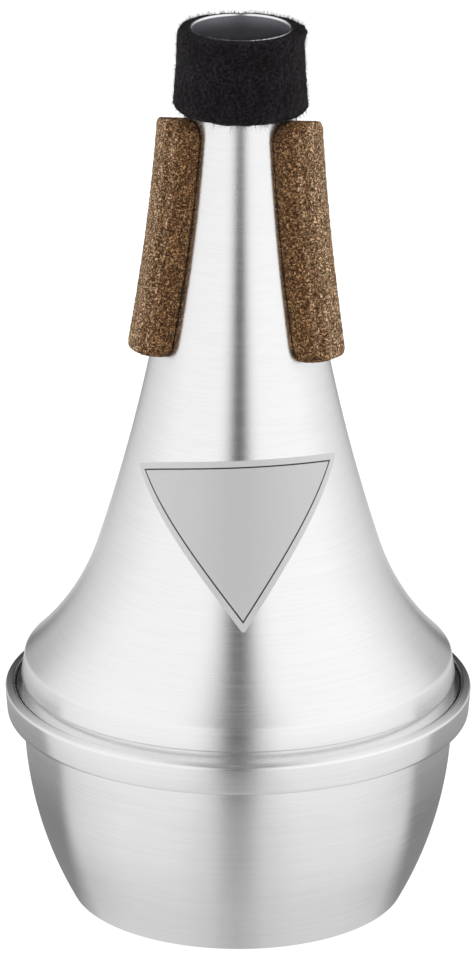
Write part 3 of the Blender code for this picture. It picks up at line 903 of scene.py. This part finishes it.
class MUTE_OT_wrap_felt(bpy.types.Operator):
    """Wrap the felt strip round the tip of the neck and raise its loose fibres"""

    bl_idname = "mute.wrap_felt"
    bl_label = "Wrap felt"

    fibres: bpy.props.IntProperty(name="Fibres", description="Number of loose fibres", default=5200)
    rim_fibres: bpy.props.IntProperty(name="Rim fibres", description="Fibres along the rim", default=1400)
    foot_fibres: bpy.props.IntProperty(name="Foot fibres", description="Long fibres under the felt", default=220)
    layers = 4
    flare_reach = 0.0016
    flare_azimuth = math.radians(-15.0)

    def execute(self, context):
        sizes = context.scene.mute_sizes
        surface = ConeSurface(sizes)
        strip = self.cut_strip(sizes)
        mark_open_side(strip, "open_side", sizes.felt_thickness / (self.layers + 1))
        half_seam = sizes.felt_seam / 2 / (sizes.neck_tip_radius + sizes.felt_thickness)

        def place(share, down, depth):
            azimuth = BACK + half_seam + (FULL_TURN - 2 * half_seam) * share
            swell = 1 + sizes.felt_swell / sizes.felt_thickness * down / sizes.felt_height
            near = max(math.cos(azimuth - self.flare_azimuth), 0.0)
            flare = near ** 12 * math.exp(-(down / self.flare_reach) ** 2)
            swell += flare * sizes.felt_flare / sizes.felt_thickness
            down += sizes.felt_tilt * math.cos(azimuth) * (1 - down / sizes.felt_height)
            return surface.off(down, azimuth, sizes.glue_film + depth * swell)

        wrap_piece(strip, place)
        roughen(strip, "felt_clumps", 0.0030, 0.00030, "open_side")
        roughen(strip, "felt_matting", 0.0009, 0.00042, "open_side")
        bpy.ops.object.shade_smooth()
        material = black_felt(context.scene.mute_finish)
        finish_piece(strip, material, "black_felt", "felt_ring")
        fuzz = self.raise_fibres(strip, sizes)
        finish_piece(fuzz, material, "black_felt")
        return {"FINISHED"}

    def cut_strip(self, sizes):
        """A flat strip with rounded edges. X is its share of the turn, until it is wrapped."""
        deselect()
        bpy.ops.mesh.primitive_grid_add(x_subdivisions=340, y_subdivisions=72, size=1.0,
                                        location=(0.5, 0.5, 0.0))
        strip = name_new("felt_strip")
        top = sizes.felt_drop
        width = sizes.felt_height - top
        apply_scale(strip, (1.0, 1.0, 1.0))
        edit_all()
        layer = Vector((0.0, 0.0, sizes.felt_thickness / self.layers))
        for _ in range(self.layers):
            bpy.ops.mesh.extrude_region_move(TRANSFORM_OT_translate={"value": layer})
        bpy.ops.object.mode_set(mode="OBJECT")
        for vertex in strip.data.vertices:
            down = vertex.co.y * width
            left = math.sin(FULL_TURN * vertex.co.x)
            back = max(math.cos(FULL_TURN * vertex.co.x), 0.0)
            top_round = sizes.felt_top_round * (0.65 + 0.35 * left + back)
            foot_round = sizes.felt_foot_round * (1 + max(left, 0.0))
            fall = rounded_in(down, top_round) + rounded_in(width - down, foot_round)
            vertex.co.z *= 1 - fall / sizes.felt_thickness
            vertex.co.y = top + down
        return strip

    def raise_fibres(self, strip, sizes):
        """Loose bent fibres standing out of the felt, copies of one modelled needle."""
        points, faces = self.model_fibre()
        draw = random.Random(41)
        mesh = strip.data
        mesh.calc_loop_triangles()
        clear = sizes.neck_tip_radius + sizes.felt_thickness / 2
        outer, top, foot = [], [], []
        for triangle in mesh.loop_triangles:
            if math.hypot(*triangle.normal.xy) < 0.5:
                (top if triangle.normal.z > 0 else foot).append(triangle)
            centre = sum((mesh.vertices[i].co for i in triangle.vertices), Vector()) / 3
            if math.hypot(centre.x, centre.y) > clear:
                outer.append(triangle)
        kinds = (
            (outer, self.fibres, (0.0003, 0.0008), (35.0, 85.0)),
            (top, self.rim_fibres, (0.0004, 0.0010), (20.0, 80.0)),
            (foot, self.foot_fibres, (0.0006, 0.0024), (15.0, 65.0)),
        )
        all_points = []
        all_faces = []
        for triangles, count, reaches, leans in kinds:
            areas = [triangle.area for triangle in triangles]
            for triangle in draw.choices(triangles, areas, k=count):
                a, b, c = (mesh.vertices[i].co for i in triangle.vertices)
                near = math.sqrt(draw.random())
                share = draw.random()
                root = a * (1 - near) + b * (near * (1 - share)) + c * (near * share)
                reach = draw.uniform(*reaches)
                thick = draw.uniform(0.000012, 0.000022)
                lean = Matrix.Rotation(math.radians(draw.uniform(*leans)), 3, "X")
                spin = Matrix.Rotation(draw.uniform(0.0, FULL_TURN), 3, "Z")
                stand = triangle.normal.to_track_quat("Z", "Y").to_matrix()
                turn = stand @ spin @ lean
                first = len(all_points)
                for point in points:
                    bend = 0.4 * reach * point.z ** 2
                    spot = Vector((point.x * thick, point.y * thick + bend, point.z * reach))
                    all_points.append(root + turn @ spot)
                all_faces += [tuple(first + i for i in face) for face in faces]
        data = bpy.data.meshes.new("felt_fibres")
        data.from_pydata(all_points, [], all_faces)
        fuzz = bpy.data.objects.new("felt_fibres", data)
        bpy.context.scene.collection.objects.link(fuzz)
        face_out(fuzz)
        return fuzz

    @staticmethod
    def model_fibre():
        """Points and faces of one needle, one unit thick and tall, cut in three along its length."""
        deselect()
        bpy.ops.mesh.primitive_cone_add(vertices=3, radius1=1.0, radius2=0.3, depth=1.0,
                                        location=(0.0, 0.0, 0.5))
        needle = name_new("needle")
        apply_scale(needle, (1.0, 1.0, 1.0))
        for height in (0.33, 0.66):
            edit_all()
            bpy.ops.mesh.bisect(plane_co=(0.0, 0.0, height), plane_no=(0.0, 0.0, 1.0))
            bpy.ops.object.mode_set(mode="OBJECT")
        points = [vertex.co.copy() for vertex in needle.data.vertices]
        faces = [tuple(polygon.vertices) for polygon in needle.data.polygons]
        bpy.data.objects.remove(needle)
        return points, faces


class MUTE_OT_stick_plate(bpy.types.Operator):
    """Cut the foil triangle with its plain border line and wrap it on the cone"""

    bl_idname = "mute.stick_plate"
    bl_label = "Stick plate"

    cuts = 48

    def execute(self, context):
        sizes = context.scene.mute_sizes
        surface = ConeSurface(sizes)
        plate = self.cut_triangle(sizes)
        pivot = sizes.plate_height / 3
        cosine = math.cos(sizes.plate_tilt)
        sine = math.sin(sizes.plate_tilt)

        def place(sideways, down, depth):
            across = sideways * cosine + (down - pivot) * sine
            along = sizes.plate_from_tip + pivot - sideways * sine + (down - pivot) * cosine
            radius, _, slope = surface.at(along)
            along += across ** 2 * math.sin(slope) / (2 * radius)
            radius, _, _ = surface.at(along)
            return surface.off(along, FRONT + across / radius, sizes.glue_film + depth)

        wrap_piece(plate, place)
        bpy.ops.object.shade_smooth_by_angle(angle=SHARP_ANGLE)
        tones = context.scene.mute_finish
        for material in (satin_foil("satin_foil", tones.foil), printed_ink(tones),
                         satin_foil("satin_field", dim(tones.foil, 0.94))):
            plate.data.materials.append(material)
        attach(plate, BODY)
        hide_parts("label_plate")
        deselect()
        return {"FINISHED"}

    def cut_triangle(self, sizes):
        """The flat triangle, its point down the cone, with the border line and the field as their own faces."""
        deselect()
        bpy.ops.mesh.primitive_circle_add(vertices=3, radius=sizes.plate_height, fill_type="NGON")
        plate = name_new("foil_plate")
        half = sizes.plate_width / 2
        corners = [Vector((0.0, sizes.plate_height, 0.0)), Vector((half, 0.0, 0.0)), Vector((-half, 0.0, 0.0))]
        for vertex, corner in zip(plate.data.vertices, corners):
            vertex.co = corner
        edit_all()
        bpy.ops.mesh.bevel(offset=sizes.plate_corner_round, segments=4, affect="VERTICES")
        bpy.ops.mesh.select_all(action="SELECT")
        bpy.ops.mesh.extrude_region_move(TRANSFORM_OT_translate={"value": (0.0, 0.0, sizes.plate_thickness)})
        sides = []
        for here, there in zip(corners, corners[1:] + corners[:1]):
            along = (there - here).normalized()
            inwards = Vector((along.y, -along.x, 0.0))
            sides.append((here, inwards))
            for inset in (sizes.plate_margin, sizes.plate_margin + sizes.plate_line):
                self.cut(here + inwards * inset, inwards)
        for i in range(1, self.cuts):
            share = i / self.cuts
            self.cut((half * (2 * share - 1), 0.0, 0.0), (1.0, 0.0, 0.0))
            self.cut((0.0, sizes.plate_height * share, 0.0), (0.0, 1.0, 0.0))
        bpy.ops.object.mode_set(mode="OBJECT")
        for polygon in plate.data.polygons:
            if polygon.center.z > sizes.plate_thickness * 0.9:
                inset = min((polygon.center - start).dot(inwards) for start, inwards in sides)
                if inset > sizes.plate_margin + sizes.plate_line:
                    polygon.material_index = 2
                elif inset > sizes.plate_margin:
                    polygon.material_index = 1
        return plate

    @staticmethod
    def cut(point, normal):
        bpy.ops.mesh.select_all(action="SELECT")
        bpy.ops.mesh.bisect(plane_co=point, plane_no=normal)


class MUTE_OT_set_stage(bpy.types.Operator):
    """Lay the pale floor, light the studio and place the camera"""

    bl_idname = "mute.set_stage"
    bl_label = "Set stage"

    half_turn = 180.0
    low_ring = (
        (0, 1.0), (70, 1.0), (86, 0.94), (102, 0.87), (122, 0.77), (133, 0.70), (148, 0.55), (155, 0.40),
        (163, 0.12), (170, 0.05), (180, 0.03))
    high_ring = (
        (0, 1.0), (85, 1.0), (100, 0.95), (119, 0.82), (127, 0.72), (133, 0.62), (139, 0.50), (147, 0.32),
        (155, 0.20), (165, 0.12), (180, 0.08))
    front_gap = ((0, 0.08), (0.08, 0.18), (0.20, 0.72), (0.30, 0.93), (0.40, 1.0))
    near_painted_shade = (
        (0, 0.49), (6, 0.56), (9, 0.62), (12, 0.65), (18, 0.69), (24, 0.71), (40, 0.71), (51, 0.66),
        (59, 0.60), (66, 0.55), (75, 0.48), (90, 0.42))
    far_table = (
        (0, 0.42), (4, 0.465), (7.5, 0.59), (11, 0.69), (15, 0.73), (23, 0.81), (31, 0.84), (50, 0.84),
        (60, 0.80), (70, 0.76), (82, 0.68), (90, 0.60))
    painted_shadow_table = (
        (0.03, 0.25), (0.055, 0.21), (0.09, 0.33), (0.125, 0.38), (0.14, 0.48), (0.16, 0.62), (0.19, 0.78),
        (0.23, 0.85))

    studio_strength: bpy.props.FloatProperty(
        name="Studio strength", description="Brightness of the soft light", default=1.04)
    floor_radius: length("Floor radius", "Axis to the floor's edge", 0.6)
    front_level: bpy.props.FloatProperty(
        name="Front level", description="Share of the soft light that comes from the front", default=0.4)
    side_level: bpy.props.FloatProperty(
        name="Side level", description="Share of the soft light that comes from the sides", default=1.5)
    # These two set the edges of the painted shadow behind the mute, in the floor's glow that the metal mirrors.
    shade_front: length("Shade front", "Axis forwards to where the edges of the dark table would meet", 0.019)
    shade_slope: angle("Shade slope", "Turn of the dark table's edge from square", 12.4)
    camera_distance: length("Camera distance", "Camera to the point that it looks at", 1.0536)
    aim_height: length("Aim height", "Height of the point that the camera looks at", 0.0744)
    camera_pitch: angle("Camera pitch", "How far down the camera looks", 19.613)
    camera_roll: angle("Camera roll", "Turn of the camera about its line of sight", 0.24)
    camera_lens: bpy.props.FloatProperty(
        name="Camera lens", description="Focal length", unit="CAMERA", default=232.5)
    camera_shift: bpy.props.FloatProperty(
        name="Camera shift", description="Sideways shift of the frame", precision=5, default=-0.00097)

    def execute(self, context):
        self.lay_floor(context.scene.mute_finish)
        self.light_studio(context.scene)
        self.place_camera(context.scene)
        context.scene.view_settings.view_transform = "Standard"
        return {"FINISHED"}

    def lay_floor(self, tones):
        """A pale floor that keeps the shadow. Near the mute the metal mirrors a glow painted on it, with painted
        shade; further out it mirrors the studio through it.
        """
        deselect()
        bpy.ops.mesh.primitive_circle_add(vertices=128, radius=self.floor_radius, fill_type="NGON",
                                          location=(0.0, 0.0, 0.0))
        floor = name_new("floor")
        material = bpy.data.materials.new("pale_floor")
        material.use_nodes = True
        nodes = NodeTree(material.node_tree)
        nodes.tree.nodes.clear()
        matt = nodes.add("ShaderNodeBsdfDiffuse")
        nodes.put(tones.floor, matt.inputs["Color"])
        shaded = nodes.add("ShaderNodeBsdfDiffuse")
        nodes.put((0.35, 0.35, 0.35), shaded.inputs["Color"])
        glow = nodes.add("ShaderNodeEmission")
        nodes.put(0.84, glow.inputs["Strength"])
        white = nodes.add("ShaderNodeAddShader")
        nodes.put(shaded.outputs[0], white.inputs[0])
        nodes.put(glow.outputs[0], white.inputs[1])
        mirrored = self.painted_floor_glow(nodes)
        path = nodes.add("ShaderNodeLightPath")
        either = self.choose(nodes, path.outputs["Is Camera Ray"], matt.outputs[0], white.outputs[0])
        gloss = nodes.maths("MAXIMUM", path.outputs["Is Glossy Ray"], path.outputs["Is Transmission Ray"])
        either = self.choose(nodes, gloss, either, mirrored)
        output = nodes.add("ShaderNodeOutputMaterial")
        nodes.put(either, output.inputs["Surface"])
        floor.data.materials.append(material)

    def painted_floor_glow(self, nodes):
        """What the metal mirrors of the floor: a glow with painted shade, dimmer near the mute and with a painted
        shadow behind it, the studio further out.
        """
        x, y, _ = nodes.split(nodes.coordinates())
        turn = self.turn_from_front(nodes, x, y)
        reach = nodes.maths("SQRT", nodes.maths("ADD", nodes.maths("MULTIPLY", x, x), nodes.maths("MULTIPLY", y, y)))
        near = nodes.ramp(turn, grey_stops(self.near_painted_shade, self.half_turn))
        far = nodes.ramp(turn, grey_stops(self.far_table, self.half_turn))
        ring = nodes.ramp(turn, grey_stops(self.low_ring[:4], self.half_turn))
        gap = nodes.ramp(nodes.maths("DIVIDE", nodes.maths("ABSOLUTE", x), reach), grey_stops(self.front_gap))
        tone = nodes.mix(nodes.span(reach, 0.036, 0.052), near, far)
        tone = nodes.mix(nodes.span(reach, 0.08, 0.15), tone, nodes.mix(1.0, ring, gap, "MULTIPLY"))
        edge = nodes.maths("MULTIPLY", nodes.maths("ABSOLUTE", x), math.tan(self.shade_slope))
        behind = nodes.maths("SUBTRACT", nodes.maths("ADD", y, self.shade_front), edge)
        furthest = self.painted_shadow_table[-1][0]
        dark = nodes.ramp(nodes.span(reach, 0.0, furthest), grey_stops(self.painted_shadow_table, furthest))
        # Painted reflection: the floor glows for glossy rays, with painted shade near the mute and a painted shadow
        # behind it.
        glow = nodes.add("ShaderNodeEmission")
        nodes.put(nodes.mix(nodes.span(behind, -0.003, 0.005), tone, dark), glow.inputs["Color"])
        clear = nodes.add("ShaderNodeBsdfTransparent")
        return self.choose(nodes, nodes.span(reach, 0.20, 0.40), glow.outputs[0], clear.outputs[0])

    def light_studio(self, scene):
        """Soft light from both sides, dark in front where the camera stands and dark far behind."""
        world = bpy.data.worlds.new("studio")
        scene.world = world
        world.use_nodes = True
        nodes = NodeTree(world.node_tree)
        nodes.tree.nodes.clear()
        x, y, z = nodes.split(nodes.coordinates("Generated"))
        turn = self.turn_from_front(nodes, x, y)
        low = nodes.ramp(turn, grey_stops(self.low_ring, self.half_turn))
        high = nodes.ramp(turn, grey_stops(self.high_ring, self.half_turn))
        around = nodes.mix(nodes.span(z, 0.05, 0.30), low, high)
        around = nodes.mix(nodes.span(z, 0.35, 0.85), around, (1.0, 1.0, 1.0))
        gap = nodes.maths("DIVIDE", nodes.maths("ABSOLUTE", x), nodes.span(z, 0.3, 0.95, 1.0, 0.8))
        above = nodes.mix(1.0, around, nodes.ramp(gap, grey_stops(self.front_gap)), "MULTIPLY")
        below = nodes.mix(0.6, nodes.ramp(turn, grey_stops(self.far_table, self.half_turn)), low)
        mirrored = nodes.mix(nodes.span(z, -0.18, -0.30), above, below)
        sideways = nodes.maths("SINE", nodes.maths("MULTIPLY", turn, math.pi))
        weight = nodes.span(sideways, 0.3, 1.0, self.front_level, self.side_level)
        weight = nodes.mix(nodes.span(z, 0.35, 0.85), weight, (1.0, 1.0, 1.0))
        path = nodes.add("ShaderNodeLightPath")
        gloss = nodes.maths("MAXIMUM", path.outputs["Is Glossy Ray"], path.outputs["Is Transmission Ray"])
        light = nodes.add("ShaderNodeBackground")
        soft = nodes.mix(1.0, mirrored, weight, "MULTIPLY")
        nodes.put(nodes.mix(gloss, soft, mirrored), light.inputs["Color"])
        brighter_right = nodes.span(x, -1.0, 1.0, 0.965, 1.035)
        nodes.put(nodes.maths("MULTIPLY", brighter_right, self.studio_strength), light.inputs["Strength"])
        white = nodes.add("ShaderNodeBackground")
        nodes.put((1.0, 1.0, 1.0), white.inputs["Color"])
        either = self.choose(nodes, path.outputs["Is Camera Ray"], light.outputs[0], white.outputs[0])
        output = nodes.add("ShaderNodeOutputWorld")
        nodes.put(either, output.inputs["Surface"])

    @staticmethod
    def turn_from_front(nodes, x, y):
        """Share of a half turn from the front, the same to both sides."""
        turn = nodes.maths("ARCTAN2", x, nodes.maths("MULTIPLY", y, -1.0))
        return nodes.maths("DIVIDE", nodes.maths("ABSOLUTE", turn), math.pi)

    @staticmethod
    def choose(nodes, share, first, second):
        either = nodes.add("ShaderNodeMixShader")
        nodes.put(share, either.inputs[0])
        nodes.put(first, either.inputs[1])
        nodes.put(second, either.inputs[2])
        return either.outputs[0]

    def place_camera(self, scene):
        deselect()
        bpy.ops.object.camera_add()
        camera = name_new("camera")
        back = Vector((0.0, -math.cos(self.camera_pitch), math.sin(self.camera_pitch)))
        camera.location = Vector((0.0, 0.0, self.aim_height)) + back * self.camera_distance
        tilt = Matrix.Rotation(math.pi / 2 - self.camera_pitch, 3, "X")
        roll = Matrix.Rotation(self.camera_roll, 3, "Z")
        camera.rotation_euler = (tilt @ roll).to_euler()
        camera.data.lens = self.camera_lens
        camera.data.shift_x = self.camera_shift
        camera.data.clip_start = 0.01
        scene.camera = camera


STEPS = (
    MUTE_OT_set_stage,
    MUTE_OT_spin_base_cup,
    MUTE_OT_spin_cone,
    MUTE_OT_finish_adhesive,
    MUTE_OT_wrap_felt,
    MUTE_OT_glue_corks,
    MUTE_OT_stick_plate,
)


class MUTE_PT_panel(bpy.types.Panel):
    """The mute's pieces, in the order in which they are made"""

    bl_idname = "MUTE_PT_panel"
    bl_label = "Straight mute"
    bl_space_type = "VIEW_3D"
    bl_region_type = "UI"
    bl_category = "Mute"

    def draw(self, context):
        for step in STEPS:
            self.layout.operator(step.bl_idname)
        for group in (context.scene.mute_sizes, context.scene.mute_finish):
            box = self.layout.box()
            for name in group.__annotations__:
                box.prop(group, name)


def register():
    for kind in (MuteSizes, MuteFinish, *STEPS, MUTE_PT_panel):
        bpy.utils.register_class(kind)
    bpy.types.Scene.mute_sizes = bpy.props.PointerProperty(type=MuteSizes)
    bpy.types.Scene.mute_finish = bpy.props.PointerProperty(type=MuteFinish)


def unregister():
    del bpy.types.Scene.mute_finish
    del bpy.types.Scene.mute_sizes
    for kind in (MUTE_PT_panel, *STEPS[::-1], MuteFinish, MuteSizes):
        bpy.utils.unregister_class(kind)


def main():
    register()
    bpy.ops.mute.set_stage()
    bpy.ops.mute.spin_base_cup()
    bpy.ops.mute.spin_cone()
    bpy.ops.mute.finish_adhesive()
    bpy.ops.mute.wrap_felt()
    bpy.ops.mute.glue_corks()
    bpy.ops.mute.stick_plate()


if __name__ == "__main__":
    main()
